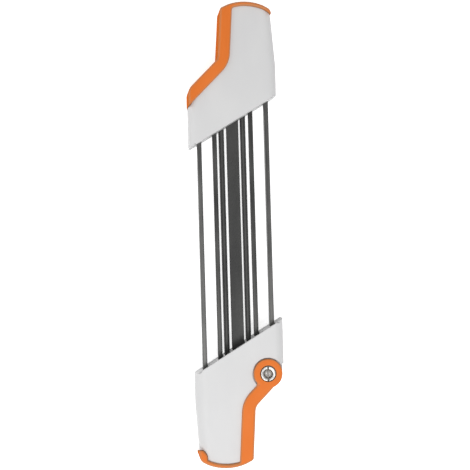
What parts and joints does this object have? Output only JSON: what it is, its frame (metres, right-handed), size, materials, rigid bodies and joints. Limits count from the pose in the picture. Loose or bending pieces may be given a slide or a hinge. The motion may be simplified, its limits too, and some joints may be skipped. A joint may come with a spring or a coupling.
{
  "type": "chainsaw file guide",
  "caption": "Two-handled guide that holds round files and a flat file between guide bars, with a locking lever, for sharpening a saw chain.",
  "frame": {"origin": "middle of the underside of the overall box, with the guide lying on its rear side", "axes": "+Y along the bars from the lever's handle to the plain handle, +Z out of the front side, +X to the right seen from the front"},
  "size_m": [0.0674, 0.3508, 0.027],
  "materials": {
    "handle_plastic": "fine-grained pale grey moulded plastic",
    "orange_plastic": "satin orange moulded plastic",
    "block_plastic": "matt black moulded plastic",
    "file_steel": "dark hardened steel with cut teeth",
    "guide_steel": "drawn grey steel",
    "fastener_steel": "bright zinc-plated steel",
    "pad_rubber": "matt black rubber"
  },
  "bodies": {
    "guide_frame": {"upper_front_shell": "handle_plastic", "upper_rear_shell": "handle_plastic", "upper_grip_cover": "orange_plastic", "upper_rod_block": "block_plastic", "upper_shell_screw_1": "fastener_steel", "upper_shell_screw_2": "fastener_steel", "upper_shell_screw_3": "fastener_steel", "upper_bar_pin_1": "fastener_steel", "upper_bar_pin_2": "fastener_steel", "upper_bar_pin_3": "fastener_steel", "upper_bar_pin_4": "fastener_steel", "lower_front_shell": "handle_plastic", "lower_rear_shell": "handle_plastic", "lower_rod_block": "block_plastic", "lower_shell_screw_1": "fastener_steel", "lower_shell_screw_2": "fastener_steel", "lower_shell_screw_3": "fastener_steel", "lower_bar_pin_1": "fastener_steel", "lower_bar_pin_2": "fastener_steel", "lower_bar_pin_3": "fastener_steel", "lower_bar_pin_4": "fastener_steel", "pivot_screw": "fastener_steel", "pivot_bush": "fastener_steel", "pivot_nut": "fastener_steel", "outer_guide_left": "guide_steel", "outer_guide_right": "guide_steel", "inner_guide_left": "guide_steel", "inner_guide_right": "guide_steel", "flat_file": "file_steel"},
    "lever": {"locking_lever": "orange_plastic", "file_stop_pad": "pad_rubber"},
    "left_file": {"round_file_left": "file_steel"},
    "right_file": {"round_file_right": "file_steel"}
  },
  "joints": [
    {"name": "lever_swing", "type": "hinge", "parent": "guide_frame", "child": "lever", "pos_m": [0.0206, -0.1058, 0.0135], "axis": [0, 0, 1], "range_deg": [0, 85]},
    {"name": "left_file_turn", "type": "hinge", "parent": "guide_frame", "child": "left_file", "pos_m": [-0.00835, 0, 0.01015], "axis": [0, 1, 0], "continuous": true},
    {"name": "right_file_turn", "type": "hinge", "parent": "guide_frame", "child": "right_file", "pos_m": [0.00835, 0, 0.01015], "axis": [0, 1, 0], "continuous": true}
  ]
}
